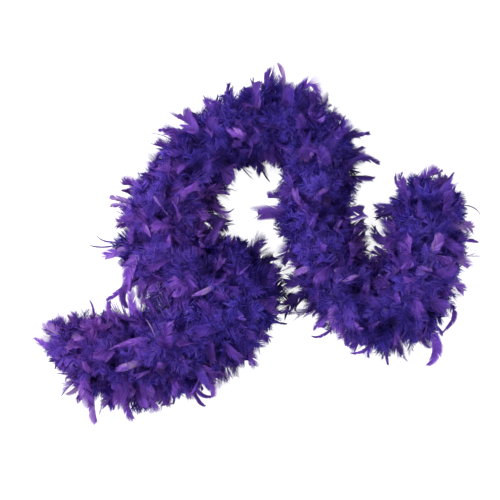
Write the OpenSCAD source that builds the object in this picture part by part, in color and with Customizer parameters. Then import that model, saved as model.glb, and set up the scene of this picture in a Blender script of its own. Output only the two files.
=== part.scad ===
// Feather boa: a soft cord, wound with thread, that carries tufts of feathers all along its length.
// It lies on the plane z = 0 in loose bends. X is the long side of the space it covers.

/* [Cord] */
// Length of the core cord from knot to knot
boa_length = 1800; // [1700:10:1900]
// Diameter of the core cord
cord_d = 5; // [4:0.5:6]
// Thickness of the thread wound over the cord
thread_t = 0.8; // [0.5:0.1:1]
// Diameter of the knot that ends the cord
knot_d = 12; // [10:0.5:14]

/* [Feathers] */
// Number of tufts along the cord
tuft_count = 40; // [20:2:40]
// Long feathers in each tuft
plumes_per_tuft = 11; // [7:1:12]
// Radius of the dense down around the cord
down_r = 24; // [20:0.5:26]
// How far a feather tip reaches from the cord
plume_reach = 118; // [80:1:120]
// Width of a feather's vane at its widest
vane_w = 19; // [12:1:24]
// Thickness of a feather
vane_t = 1.2; // [1:0.1:2]

/* [Hidden] */
tuft_names = [for (k = [1 : tuft_count]) str("feather_tuft_", k < 10 ? "0" : "", k)];

down_colour = [0.24, 0.15, 0.52];
plume_colour = [0.36, 0.19, 0.60];
cord_colour = [0.20, 0.12, 0.38];
thread_colour = [0.16, 0.10, 0.32];

sides = 12;          // corners of every swept ring
rings_per_tuft = 2;  // swept lengths in one tuft
rings = tuft_count * rings_per_tuft;
foot_half = 12;      // half the width of the flat that the down rests on
plume_root_r = 12;   // where a feather leaves the down, inside its surface
waist = 0.84;        // radius of the down between two tufts, as a share of down_r
clearance = 0.94;    // share of the way to the next stretch of boa that a feather may fill
least_z = 1.5;       // no feather comes nearer the floor than this
tail_l = 14;         // cut end of the cord past its knot
end_lean = 25;       // how far the feathers of the two end tufts lean off the end

// The route of the cord, as points that it passes through, chosen by hand.
route = [
  [-394, -220, 34], [-345, -228, 36], [-277, -232, 38], [-201, -227, 38], [-124, -204, 38],
  [-61, -164, 40], [-18, -116, 42], [-36, -78, 42], [-98, -62, 42], [-158, -34, 40],
  [-195, 14, 38], [-196, 68, 38], [-165, 118, 38], [-124, 162, 38], [-76, 207, 38],
  [-17, 240, 38], [46, 257, 38], [101, 225, 38], [124, 162, 38], [120, 92, 38],
  [130, 20, 38], [161, -55, 38], [205, -114, 38], [267, -138, 38], [321, -107, 38],
  [349, -38, 38], [355, 36, 36], [349, 93, 34]
];
centre_shift = [-9, -6.5, 0];  // brings the middle of the whole boa over the origin

// A point of a smooth curve through the points p, at u from 0 to len(p) - 1.
function spline(p, u) =
  let (i = min(floor(u), len(p) - 2), t = u - i,
       a = p[max(i - 1, 0)], b = p[i], c = p[i + 1], d = p[min(i + 2, len(p) - 1)])
  0.5 * (2 * b + (c - a) * t + (2 * a - 5 * b + 4 * c - d) * t * t
         + (3 * b - a - 3 * c + d) * t * t * t);

// The route in short steps, with the distance run at each step.
steps = 400;
drawn = [for (k = [0 : steps]) spline(route, k * (len(route) - 1) / steps)];
drawn_run = [for (k = 0, s = 0; k <= steps; s = s + norm(drawn[min(k + 1, steps)] - drawn[k]), k = k + 1) s];
size_factor = boa_length / drawn_run[steps];
along_x = [for (k = [0 : steps]) [drawn_run[k] * size_factor, drawn[k].x * size_factor]];
along_y = [for (k = [0 : steps]) [drawn_run[k] * size_factor, drawn[k].y * size_factor]];
along_z = [for (k = [0 : steps]) [drawn_run[k] * size_factor, drawn[k].z * size_factor]];

// The cord's centre after a run s, and its frame there: along it, across it and upward.
function place(s) = [lookup(s, along_x), lookup(s, along_y), lookup(s, along_z)] + centre_shift;
function unit(v) = v / norm(v);
function ahead(s) = unit(place(min(s + 4, boa_length)) - place(max(s - 4, 0)));
function across(s) = unit(cross([0, 0, 1], ahead(s)));
function upward(s) = cross(ahead(s), across(s));

stations = [for (k = [0 : rings]) k * boa_length / rings];

// A ring of corners around the cord.
function ring(s, r) =
  [for (i = [0 : sides - 1])
    let (a = (i + 0.5) * 360 / sides)
    place(s) + r * cos(a) * across(s) + r * sin(a) * upward(s)];

// A ring of down, with its two lowest corners pressed flat on the floor.
function down_ring(s, r) =
  [for (i = [0 : sides - 1])
    let (a = (i + 0.5) * 360 / sides, lowest = sin(a) < -0.9)
    place(s)
      + (lowest ? sign(cos(a)) * foot_half : r * cos(a)) * across(s)
      + (lowest ? -place(s).z / upward(s).z : r * sin(a)) * upward(s)];

// Side faces between two rings of corners, the first starting at first and the second at second.
function side_faces(first, second, outside) =
  [for (i = [0 : sides - 1])
    let (j = (i + 1) % sides)
    for (f = [[first + i, first + j, second + j], [first + i, second + j, second + i]])
      outside ? [f[2], f[1], f[0]] : f];

// A solid rod through a list of rings.
module rod(rows) {
  last = (len(rows) - 1) * sides;
  polyhedron(
    points = [for (r = rows) each r],
    faces = concat(
      [for (k = [0 : len(rows) - 2]) each side_faces(k * sides, (k + 1) * sides, true)],
      [[for (i = [0 : sides - 1]) i]],
      [[for (i = [sides - 1 : -1 : 0]) last + i]]),
    convexity = 6);
}

// A tube between outer rings and inner rings.
module tube(outer, inner) {
  hole = len(outer) * sides;
  last = hole - sides;
  polyhedron(
    points = concat([for (r = outer) each r], [for (r = inner) each r]),
    faces = concat(
      [for (k = [0 : len(outer) - 2]) each side_faces(k * sides, (k + 1) * sides, true)],
      [for (k = [0 : len(outer) - 2]) each side_faces(hole + k * sides, hole + (k + 1) * sides, false)],
      side_faces(0, hole, false),
      side_faces(last, hole + last, true)),
    convexity = 8);
}

module core_cord() {
  color(cord_colour) rod([for (s = stations) ring(s, cord_d / 2)]);
}

module binding_thread() {
  color(thread_colour)
    tube([for (s = stations) ring(s, cord_d / 2 + thread_t)], [for (s = stations) ring(s, cord_d / 2)]);
}

// Places a shape at p, with its X axis along the unit vector u and its Y axis turned towards v.
module facing(p, u, v) {
  w = unit(cross(u, v));
  y = cross(w, u);
  multmatrix([[u.x, y.x, w.x, p.x], [u.y, y.y, w.y, p.y], [u.z, y.z, w.z, p.z], [0, 0, 0, 1]]) children();
}

// The knot that ends the cord, with the cut end standing out of it along u.
module end_knot(s, u) {
  color(cord_colour) facing(place(s), u, [0, 0, 1]) {
    rotate([0, 90, 0]) rotate_extrude($fn = 48) intersection() {
      translate([0, knot_d * 0.45]) scale([1, 0.9]) circle(d = knot_d, $fn = 48);
      square([knot_d, knot_d]);
    }
    translate([knot_d * 0.8, 0, 0]) rotate([0, 90, 0]) cylinder(h = tail_l, d = cord_d, $fn = 32);
  }
}

// A steady scatter from -1 to 1, a different one for each a and b.
function scatter(a, b) = let (v = sin(a * 127.1 + b * 311.7) * 437.5) 2 * (v - floor(v)) - 1;

// Half the width of a feather at t from its root, 0, to its tip, 1.
function half_width(t) = 0.9 + (vane_w / 2 - 0.9) * pow(sin(180 * pow(t, 1.5)), 0.9);

// The outline of a feather of length l lying along X.
function feather_outline(l) =
  let (n = 6, rim = [for (i = [0 : n - 1]) let (t = i / n) [t * l, half_width(t)]])
  concat(rim, [[l, 0]], [for (i = [n - 1 : -1 : 0]) [rim[i].x, -rim[i].y]]);

// How far a feather from p along the unit vector u may reach before it meets another stretch of the boa.
function free_reach(p, u) =
  min([for (s = stations) let (d = place(s) - p, w = d * u) w > 5 ? clearance * (d * d) / (2 * w) : 1000]);

// One long feather: leaves the cord at run s, at an angle round it, leaning along it by lean.
// Its vane is spread along the cord, and rolled out of that plane by roll.
module plume(s, angle, lean, roll, share) {
  outward = cos(angle) * across(s) + sin(angle) * [0, 0, 1];
  u = unit(cos(lean) * outward + sin(lean) * ahead(s));
  reach = min(plume_reach * share, free_reach(place(s), u));
  reach_to_floor = u.z < 0 ? (place(s).z - least_z - vane_w / 2) / -u.z : 1000;
  facing(place(s) + plume_root_r * u, u, ahead(s)) rotate([roll, 0, 0]) translate([0, 0, -vane_t / 2])
    linear_extrude(height = vane_t) polygon(feather_outline(min(reach, reach_to_floor) - plume_root_r));
}

// The down of one tuft over its stations: a lumpy sleeve with a bore that fits the thread.
module down(own) {
  n = len(own) - 1;
  tube([for (i = [0 : n]) down_ring(own[i], down_r * (i == 0 || i == n ? waist : 1))],
       [for (s = own) ring(s, cord_d / 2 + thread_t)]);
}

// Tuft k, from 0: the dense down around its stretch of cord, with its long feathers.
module feather_tuft(k) {
  own = [for (i = [0 : rings_per_tuft]) stations[k * rings_per_tuft + i]];
  pitch = own[rings_per_tuft] - own[0];
  splay = k == 0 ? -end_lean : k == tuft_count - 1 ? end_lean : 0;
  union() {
    color(down_colour) down(own);
    color(plume_colour) for (j = [0 : plumes_per_tuft - 1]) {
      s = own[0] + pitch * (0.5 + 0.3 * ((j % 3) - 1));
      angle = -6 + 192 * (j + 0.2 * scatter(k, j)) / (plumes_per_tuft - 1);
      plume(s, angle, splay + 12 * scatter(j, k + 5), 16 * scatter(k + 1, j + 2),
            0.88 + 0.12 * scatter(k + 3, j + 7));
    }
  }
}

core_cord();
binding_thread();
end_knot(0, -ahead(0));  // left_end_knot
end_knot(boa_length, ahead(boa_length));  // right_end_knot
for (k = [0 : tuft_count - 1])
  feather_tuft(k);
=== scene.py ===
import bpy
import numpy as np
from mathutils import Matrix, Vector


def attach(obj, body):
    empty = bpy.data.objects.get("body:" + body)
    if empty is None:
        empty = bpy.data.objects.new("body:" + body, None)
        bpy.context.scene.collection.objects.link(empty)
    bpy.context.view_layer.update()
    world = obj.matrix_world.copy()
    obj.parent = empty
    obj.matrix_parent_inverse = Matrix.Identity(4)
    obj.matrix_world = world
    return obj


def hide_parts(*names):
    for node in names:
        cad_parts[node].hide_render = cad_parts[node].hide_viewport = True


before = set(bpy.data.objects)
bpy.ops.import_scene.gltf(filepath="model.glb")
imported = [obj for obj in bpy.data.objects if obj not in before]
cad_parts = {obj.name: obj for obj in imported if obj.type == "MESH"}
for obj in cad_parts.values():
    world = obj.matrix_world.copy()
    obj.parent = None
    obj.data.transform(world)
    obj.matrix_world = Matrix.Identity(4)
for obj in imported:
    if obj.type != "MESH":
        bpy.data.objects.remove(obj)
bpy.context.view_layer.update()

# ---------------- the cord's route, as in part.scad

BOA_LENGTH = 1.800
CORD_D = 0.005
THREAD_T = 0.0008
KNOT_D = 0.012
TAIL = 0.014
TUFTS = 40
PITCH = BOA_LENGTH / TUFTS
CENTRE_SHIFT = np.array([-0.009, -0.0065, 0.0])
ROUTE = np.array([
    (-0.394, -0.220, 0.034), (-0.345, -0.228, 0.036), (-0.277, -0.232, 0.038),
    (-0.201, -0.227, 0.038), (-0.124, -0.204, 0.038), (-0.061, -0.164, 0.040),
    (-0.018, -0.116, 0.042), (-0.036, -0.078, 0.042), (-0.098, -0.062, 0.042),
    (-0.158, -0.034, 0.040), (-0.195, 0.014, 0.038), (-0.196, 0.068, 0.038),
    (-0.165, 0.118, 0.038), (-0.124, 0.162, 0.038), (-0.076, 0.207, 0.038),
    (-0.017, 0.240, 0.038), (0.046, 0.257, 0.038), (0.101, 0.225, 0.038),
    (0.124, 0.162, 0.038), (0.120, 0.092, 0.038), (0.130, 0.020, 0.038),
    (0.161, -0.055, 0.038), (0.205, -0.114, 0.038), (0.267, -0.138, 0.038),
    (0.321, -0.107, 0.038), (0.349, -0.038, 0.038), (0.355, 0.036, 0.036),
    (0.349, 0.093, 0.034),
])
DRAWN_STEPS = 400
AXIS_STEP = 0.004           # how far ahead and behind a direction along the cord is taken


def spline(points, u):
    """Points of a smooth curve through the given points, at u from 0 to len(points) - 1."""
    i = np.minimum(np.floor(u).astype(int), len(points) - 2)
    t = (u - i)[:, None]
    a, b = points[np.maximum(i - 1, 0)], points[i]
    c, d = points[i + 1], points[np.minimum(i + 2, len(points) - 1)]
    return 0.5 * (2 * b + (c - a) * t + (2 * a - 5 * b + 4 * c - d) * t ** 2
                  + (3 * b - a - 3 * c + d) * t ** 3)


drawn = spline(ROUTE, np.linspace(0, len(ROUTE) - 1, DRAWN_STEPS + 1))
drawn_run = np.concatenate([[0], np.cumsum(np.linalg.norm(np.diff(drawn, axis=0), axis=1))])
size_factor = BOA_LENGTH / drawn_run[-1]
drawn, drawn_run = drawn * size_factor, drawn_run * size_factor


def unit(v):
    """Vectors of length 1 along each of v."""
    return v / np.maximum(np.linalg.norm(v, axis=-1, keepdims=True), 1e-12)


def turned(x, y, angle):
    """The axes x and y, turned by an angle in their own plane."""
    return np.cos(angle) * x + np.sin(angle) * y, -np.sin(angle) * x + np.cos(angle) * y


def place(s):
    """The cord's centre after each run s."""
    return np.stack([np.interp(s, drawn_run, drawn[:, i]) for i in range(3)], axis=-1) + CENTRE_SHIFT


def axes(s):
    """Unit vectors along the cord, across it to its left, and upward, at each run s."""
    ahead = unit(place(np.minimum(s + AXIS_STEP, BOA_LENGTH)) - place(np.maximum(s - AXIS_STEP, 0)))
    across = unit(np.cross([0.0, 0.0, 1.0], ahead))
    return ahead, across, np.cross(ahead, across)


# ---------------- camera, light and floor

VIEW_WIDTH = 1.035          # metres across the picture at the height of the cord
VIEW_HEIGHT = 3.4           # of the camera above the floor
CORD_HEIGHT = 0.045
VIEW_CENTRE = (-0.0124, -0.0114)        # on the plan of ROUTE
SENSOR = 36.0

camera = bpy.data.objects.new("camera", bpy.data.cameras.new("camera"))
bpy.context.scene.collection.objects.link(camera)
camera.data.sensor_width = SENSOR
camera.data.lens = SENSOR * (VIEW_HEIGHT - CORD_HEIGHT) / VIEW_WIDTH
camera.location = (*(CENTRE_SHIFT[:2] + VIEW_CENTRE), VIEW_HEIGHT)
camera.rotation_euler = (0, 0, 0)
bpy.context.scene.camera = camera


def add_softbox(name, location, size, power):
    """A round white lamp that faces the middle of the floor."""
    light = bpy.data.lights.new(name, "AREA")
    light.shape = "DISK"
    light.size = size
    light.energy = power
    lamp = bpy.data.objects.new(name, light)
    lamp.location = location
    lamp.rotation_euler = (-Vector(location)).to_track_quat("-Z", "Y").to_euler()
    bpy.context.scene.collection.objects.link(lamp)


add_softbox("key", (-2.2, 0.7, 2.4), 1.3, 100)
add_softbox("fill", (1.0, -1.4, 3.0), 2.4, 26)

world = bpy.data.worlds.new("studio")
world.use_nodes = True
backdrop = world.node_tree.nodes["Background"]
backdrop.inputs["Color"].default_value = (1, 1, 1, 1)
backdrop.inputs["Strength"].default_value = 0.81
bpy.context.scene.world = world
bpy.context.scene.view_settings.view_transform = "Standard"

# ---------------- materials


def node_material(name):
    mat = bpy.data.materials.new(name)
    mat.use_nodes = True
    nodes = mat.node_tree.nodes
    return mat, nodes, mat.node_tree.links, nodes["Principled BSDF"]


def add(nodes, kind, **settings):
    node = nodes.new(kind)
    for key, value in settings.items():
        setattr(node, key, value)
    return node


def ramped(nodes, links, source, stops):
    """The colours that a ramp gives to source."""
    node = nodes.new("ShaderNodeValToRGB")
    while len(node.color_ramp.elements) < len(stops):
        node.color_ramp.elements.new(1.0)
    for element, (at, colour) in zip(node.color_ramp.elements, stops):
        element.position = at
        element.color = (*colour, 1)
    links.new(source, node.inputs["Fac"])
    return node.outputs["Color"]


def clouds(nodes, links, scale, detail):
    """A noise over the object, from 0 to 1."""
    node = nodes.new("ShaderNodeTexNoise")
    node.inputs["Scale"].default_value = scale
    node.inputs["Detail"].default_value = detail
    links.new(nodes.new("ShaderNodeTexCoord").outputs["Object"], node.inputs["Vector"])
    return node.outputs["Fac"]


def ranged(nodes, links, source, from_range, to_range):
    """Source, mapped from one range to another."""
    node = nodes.new("ShaderNodeMapRange")
    node.inputs["From Min"].default_value, node.inputs["From Max"].default_value = from_range
    node.inputs["To Min"].default_value, node.inputs["To Max"].default_value = to_range
    links.new(source, node.inputs["Value"])
    return node.outputs["Result"]


PALE_DYE_AND_HIGHLIGHT = (0.44, 0.31, 0.46, 1.0)          # of a feather that took little dye, and of the painted highlight on the lightest feathers
PALE_FROM, PALE_TO = 1.2, 1.8           # the lightness, painted light and shade included, at which a feather starts to pale, and is palest
BRIGHTEST = 1.3                         # the lightness past which the dye gets no brighter
PATCH_SCALE = 70


def feather_material(name, cool, warm, roughness, glow, pale_highlight_most):
    """A thin dyed fibre or vane. Its colour runs along its length from root to tip, from a cool shade to a
    warm one by tone, and from dark to light by shade, which also carries painted light and shade; where it is
    lightest it is a greyer lavender, both where the dye took least and as a painted highlight. A share of the
    light goes through it, as in a real feather."""
    mat, nodes, links, principled = node_material(name)
    along, tone, shade = (add(nodes, "ShaderNodeAttribute", attribute_name=a)
                          for a in ("along", "tone", "shade"))
    colour = add(nodes, "ShaderNodeMix", data_type="RGBA")
    links.new(tone.outputs["Fac"], colour.inputs["Factor"])
    links.new(ramped(nodes, links, along.outputs["Fac"], cool), colour.inputs["A"])
    links.new(ramped(nodes, links, along.outputs["Fac"], warm), colour.inputs["B"])
    patches = clouds(nodes, links, PATCH_SCALE, 3)
    value = add(nodes, "ShaderNodeMath", operation="MULTIPLY")
    links.new(shade.outputs["Fac"], value.inputs[0])
    links.new(ranged(nodes, links, patches, (0.3, 0.7), (0.88, 1.12)), value.inputs[1])
    limited = add(nodes, "ShaderNodeMath", operation="MINIMUM")
    limited.inputs[1].default_value = BRIGHTEST
    links.new(value.outputs[0], limited.inputs[0])
    dyed = nodes.new("ShaderNodeHueSaturation")
    links.new(limited.outputs[0], dyed.inputs["Value"])
    links.new(colour.outputs["Result"], dyed.inputs["Color"])
    # greyer lavender where the feather is lightest: paler dye, and a painted highlight where painted light
    # made it light
    pale_highlighted = add(nodes, "ShaderNodeMix", data_type="RGBA")
    pale_highlighted.inputs["B"].default_value = PALE_DYE_AND_HIGHLIGHT
    pale_highlight = ranged(nodes, links, value.outputs[0], (PALE_FROM, PALE_TO), (0.0, pale_highlight_most))
    links.new(pale_highlight, pale_highlighted.inputs["Factor"])
    links.new(dyed.outputs["Color"], pale_highlighted.inputs["A"])
    links.new(pale_highlighted.outputs["Result"], principled.inputs["Base Color"])
    rough = ranged(nodes, links, patches, (0.0, 1.0), (roughness - 0.08, roughness + 0.08))
    links.new(rough, principled.inputs["Roughness"])
    principled.inputs["Specular IOR Level"].default_value = 0.12
    through = add(nodes, "ShaderNodeBsdfTranslucent")
    links.new(pale_highlighted.outputs["Result"], through.inputs["Color"])
    both = add(nodes, "ShaderNodeMixShader")
    both.inputs["Fac"].default_value = glow
    links.new(principled.outputs["BSDF"], both.inputs[1])
    links.new(through.outputs["BSDF"], both.inputs[2])
    links.new(both.outputs["Shader"], nodes["Material Output"].inputs["Surface"])
    return mat


# The down and vane ramps are darker at the root than at the tip: painted shade deep inside the feathers.
down_mat = feather_material(
    "down",
    [(0.0, (0.040, 0.024, 0.345)), (0.6, (0.076, 0.050, 0.495)), (1.0, (0.108, 0.076, 0.600))],
    [(0.0, (0.088, 0.035, 0.385)), (0.6, (0.168, 0.067, 0.535)), (1.0, (0.245, 0.105, 0.640))],
    0.80, 0.42, 0.25)
vane_mat = feather_material(
    "vane",
    [(0.0, (0.075, 0.036, 0.380)), (0.7, (0.142, 0.064, 0.505)), (1.0, (0.205, 0.108, 0.580))],
    [(0.0, (0.168, 0.052, 0.390)), (0.7, (0.290, 0.092, 0.540)), (1.0, (0.430, 0.190, 0.650))],
    0.50, 0.40, 0.70)
quill_mat = feather_material(
    "quill",
    [(0.0, (0.200, 0.110, 0.480)), (1.0, (0.150, 0.060, 0.420))],
    [(0.0, (0.420, 0.280, 0.680)), (1.0, (0.320, 0.170, 0.600))],
    0.40, 0.10, 0.80)


def fibre_material(name, dark, light, scale, rough):
    """Dyed spun fibre: fine streaks of two shades, with a bump."""
    mat, nodes, links, principled = node_material(name)
    streaks = clouds(nodes, links, scale, 4)
    links.new(ramped(nodes, links, streaks, [(0.3, dark), (0.7, light)]), principled.inputs["Base Color"])
    bump = add(nodes, "ShaderNodeBump")
    bump.inputs["Strength"].default_value = 0.4
    bump.inputs["Distance"].default_value = 0.0003
    links.new(streaks, bump.inputs["Height"])
    links.new(bump.outputs["Normal"], principled.inputs["Normal"])
    principled.inputs["Roughness"].default_value = rough
    principled.inputs["Sheen Weight"].default_value = 0.3
    return mat


cord_mat = fibre_material("cotton", (0.030, 0.012, 0.11), (0.09, 0.04, 0.26), 900, 0.85)
thread_mat = fibre_material("thread", (0.020, 0.009, 0.08), (0.06, 0.03, 0.18), 1500, 0.6)

floor_mat, nodes, links, principled = node_material("paper")
grain = add(nodes, "ShaderNodeTexNoise")
grain.inputs["Scale"].default_value = 40
greys = [(0.0, (0.27, 0.27, 0.27)), (1.0, (0.30, 0.30, 0.30))]
links.new(ramped(nodes, links, grain.outputs["Fac"], greys), principled.inputs["Base Color"])
principled.inputs["Roughness"].default_value = 0.9
principled.inputs["Specular IOR Level"].default_value = 0.1
principled.inputs["Emission Color"].default_value = (1, 1, 1, 1)
principled.inputs["Emission Strength"].default_value = 0.88

# ---------------- meshes


def mesh_object(name, vertices, triangles, materials, slots=None, uv=None, normals=None, **attributes):
    """An object from arrays of vertices and triangles. slots has the material number of each triangle, uv the
    place of each vertex on the map that colours are baked on, and normals and attributes a row for each."""
    mesh = bpy.data.meshes.new(name)
    count = len(triangles)
    mesh.vertices.add(len(vertices))
    mesh.vertices.foreach_set("co", np.asarray(vertices, np.float32).ravel())
    mesh.loops.add(3 * count)
    mesh.loops.foreach_set("vertex_index", np.asarray(triangles, np.int32).ravel())
    mesh.polygons.add(count)
    mesh.polygons.foreach_set("loop_start", np.arange(0, 3 * count, 3, dtype=np.int32))
    mesh.polygons.foreach_set("use_smooth", np.full(count, True))
    for mat in materials:
        mesh.materials.append(mat)
    if slots is not None:
        mesh.polygons.foreach_set("material_index", np.asarray(slots, np.int32))
    if uv is not None:
        layer = mesh.uv_layers.new(name="OFBake")
        layer.data.foreach_set("uv", np.asarray(uv, np.float32)[np.asarray(triangles).ravel()].ravel())
    for key, values in attributes.items():
        layer = mesh.attributes.new(key, "FLOAT", "POINT")
        layer.data.foreach_set("value", np.asarray(values, np.float32))
    mesh.update(calc_edges=True)
    if normals is not None:
        mesh.normals_split_custom_set_from_vertices(normals)
    obj = bpy.data.objects.new(name, mesh)
    bpy.context.scene.collection.objects.link(obj)
    return obj


def tube_triangles(count, rows, sides):
    """Triangles of count tubes, each of rows rings of points that close on themselves."""
    i = np.arange(sides)
    ring = np.stack([i, (i + 1) % sides], 1)
    start = np.arange(rows - 1)[:, None, None] * sides
    a, b = (start + ring[None])[..., 0].ravel(), (start + ring[None])[..., 1].ravel()
    one = np.concatenate([np.stack([a, b, b + sides], 1), np.stack([a, b + sides, a + sides], 1)])
    return (one[None] + np.arange(count)[:, None, None] * rows * sides).reshape(-1, 3)


def tube_object(name, points, side, up, radii, material):
    """A tube round a line of points. radii has one row for each point and one column for each side."""
    angles = np.linspace(0, 2 * np.pi, radii.shape[1], endpoint=False)
    rings = points[:, None] + radii[..., None] * (np.cos(angles)[None, :, None] * side[:, None]
                                                  + np.sin(angles)[None, :, None] * up[:, None])
    return mesh_object(name, rings.reshape(-1, 3), tube_triangles(1, *radii.shape), [material])


# ---------------- the cord, its thread and its knots

CORD_SIDES = 18
CORD_STEP = 0.0015
STRANDS = 3
TWIST = 0.011               # length of one turn of the strands


def strand_wave(run):
    """How far the twisted strands stand out, from 0 to 1, at each run along the cord and each side of it."""
    side = np.linspace(0, 2 * np.pi, CORD_SIDES, endpoint=False)[None]
    return np.abs(np.cos(STRANDS / 2 * side + STRANDS / 2 * (run * 2 * np.pi / TWIST)[:, None]))


cord_run = np.linspace(0, BOA_LENGTH, int(BOA_LENGTH / CORD_STEP))
cord_line = place(cord_run)
ahead, across, up = axes(cord_run)
cord_radii = CORD_D / 2 * (0.80 + 0.20 * strand_wave(cord_run))
cord_piece = tube_object("twisted_cord", cord_line, across, up, cord_radii, cord_mat)
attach(cord_piece, "root")
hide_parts("core_cord")

THREAD_SIDES = 5
THREAD_TURN = 0.0035        # between two turns of the thread
TURN_STEPS = 10
thread_run = np.linspace(0, BOA_LENGTH, int(BOA_LENGTH / THREAD_TURN) * TURN_STEPS)
ahead, across, up = axes(thread_run)
turn = (thread_run * 2 * np.pi / THREAD_TURN)[:, None]
outward, _ = turned(across, up, turn)
thread_line = place(thread_run) + (CORD_D + THREAD_T) / 2 * outward
thread_radii = np.full((len(thread_run), THREAD_SIDES), THREAD_T / 2)
thread_piece = tube_object("wound_thread", thread_line, outward, ahead, thread_radii, thread_mat)
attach(thread_piece, "root")
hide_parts("binding_thread")

KNOT_SQUEEZE = 0.8          # how much thinner the cord is pulled in a knot


def knot(name, s, direction, node):
    """An overhand knot at the end of the cord, pulled tight, with its cut end standing out."""
    side = unit(np.cross([0.0, 0.0, 1.0], direction))
    rise = np.cross(direction, side)
    t = np.linspace(0.15, 2 * np.pi - 0.15, 120)
    size = KNOT_D * 0.15
    local = size * np.stack([2.2 * np.sin(3 * t) + 3.0, np.sin(t) + 2 * np.sin(2 * t),
                             np.cos(t) - 2 * np.cos(2 * t)], 1)
    tail_x = np.linspace(local[-1, 0], TAIL + KNOT_D * 0.8, 16)[1:]
    fade = np.linspace(1, 0, 16)[1:]
    tail = np.stack([tail_x, local[-1, 1] * fade, local[-1, 2] * fade], 1)
    local = np.concatenate([local, tail])
    line = place(np.array([s]))[0] + local[:, :1] * direction + local[:, 1:2] * side + local[:, 2:3] * rise
    tangent = unit(np.gradient(line, axis=0))
    first = unit(np.cross(tangent, direction + 0.3 * side))
    second = np.cross(tangent, first)
    run = np.concatenate([[0], np.cumsum(np.linalg.norm(np.diff(line, axis=0), axis=1))])
    radii = CORD_D / 2 * KNOT_SQUEEZE * (0.82 + 0.18 * strand_wave(run))
    piece = tube_object(name, line, first, second, radii, cord_mat)
    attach(piece, "root")
    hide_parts(node)
    return piece


start_ahead, end_ahead = axes(np.array([0.0, BOA_LENGTH]))[0]
knot("left_knot", 0.0, -start_ahead, "left_end_knot")
right_knot = knot("right_knot", BOA_LENGTH, end_ahead, "right_end_knot")

# ---------------- feathers

RACHIS = 13                 # points along a quill
LOW = 0.014                 # below this height feathers flatten out along the floor
FLOOR_GAP = 0.0008
HIGH = 0.135                # above this height feathers are pressed down
CEILING = 0.167
BEND_AT = 0.6               # share of a drawn quill at which it passes through its bend


def flattened(points):
    """Bends what would go through the floor along it, and presses down what stands highest."""
    z = points[..., 2]
    low = FLOOR_GAP + (LOW - FLOOR_GAP) * np.exp(np.minimum(z - LOW, 0) / (LOW - FLOOR_GAP))
    high = HIGH + (CEILING - HIGH) * (1 - np.exp(np.minimum(HIGH - z, 0) / (CEILING - HIGH)))
    points[..., 2] = np.where(z < LOW, low, np.where(z > HIGH, high, z))
    return points


def lumps(s, angle):
    """A smooth swell and fall of the feathers over the boa. Its pits are twice as deep as its swells high."""
    swell = (0.5 * np.sin(s * 61 + 2.0 * np.sin(angle + 0.7)) + 0.35 * np.sin(s * 127 + 2.3 * angle + 1.1)
             + 0.25 * np.sin(s * 211 - 3.1 * angle + 2.9))
    return np.where(swell < 0, 1.8 * swell, 0.8 * swell)


def travelled(direction, step):
    """How far each point of some curves is from the first, from the directions and the steps along them."""
    way = np.cumsum((direction[:, 1:] + direction[:, :-1]) / 2 * step, axis=1)
    return np.concatenate([np.zeros((len(way), 1, 3)), way], 1)


def quills(rng, s, angle, length, lean, bend, sway_spread, twist_spread):
    """Points along the quills of feathers, and their axes there: along the quill, across the blade and out of
    it. Each feather leaves the cord at run s and at an angle round it, leans along it, bends over some way,
    sways sideways and twists."""
    bend_way = rng.uniform(0, 2 * np.pi, len(s))
    sway, twist = rng.normal(0, sway_spread, len(s)), rng.normal(0, twist_spread, len(s))
    ahead, across, up = axes(s)
    outward, around = turned(across, up, angle[:, None])
    first, along = turned(outward, ahead, lean[:, None])
    first, over = unit(first), unit(turned(along, around, bend_way[:, None])[0])
    u = np.linspace(0, 1, RACHIS)
    side = np.cross(first, over)[:, None]
    t, n = turned(first[:, None], over[:, None], (bend[:, None] * u[None] ** 1.4)[..., None])
    t, b = turned(t, side, (sway[:, None] * u[None] ** 2)[..., None])
    b, n = turned(b, n, (twist[:, None] * u[None])[..., None])
    step = length[:, None, None] / (RACHIS - 1)
    root = place(s) + outward * (CORD_D / 2 + THREAD_T * 0.5)
    return root[:, None] + travelled(t, step), t, b, n


def drawn_quills(bend, tip, roll):
    """The quills of feathers that leave the cord where it is nearest, pass through a bend and end at a tip,
    after the run at which each leaves. The blade faces up, rolled about the quill."""
    nearest = np.linalg.norm(bend[:, None, :2] - cord_line[None, :, :2], axis=2).argmin(axis=1)
    root = cord_line[nearest]
    control = (bend - (1 - BEND_AT) ** 2 * root - BEND_AT ** 2 * tip) / (2 * BEND_AT * (1 - BEND_AT))
    u = np.linspace(0, 1, RACHIS)[None, :, None]
    root, control, end = root[:, None], control[:, None], tip[:, None]
    line = (1 - u) ** 2 * root + 2 * u * (1 - u) * control + u ** 2 * end
    t = unit((1 - u) * (control - root) + u * (end - control))
    b = unit(np.cross([0.0, 0.0, 1.0], t))
    n = np.cross(t, b)
    b, n = turned(b, n, roll[:, None, None])
    return cord_run[nearest], (line, t, b, n)


def at(values, feather, u):
    """Values along the quills, at u of the given feathers."""
    x = u * (RACHIS - 1)
    i = np.minimum(x.astype(int), RACHIS - 2)
    f = (x - i)[:, None]
    return values[feather, i] * (1 - f) + values[feather, i + 1] * f


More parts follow.
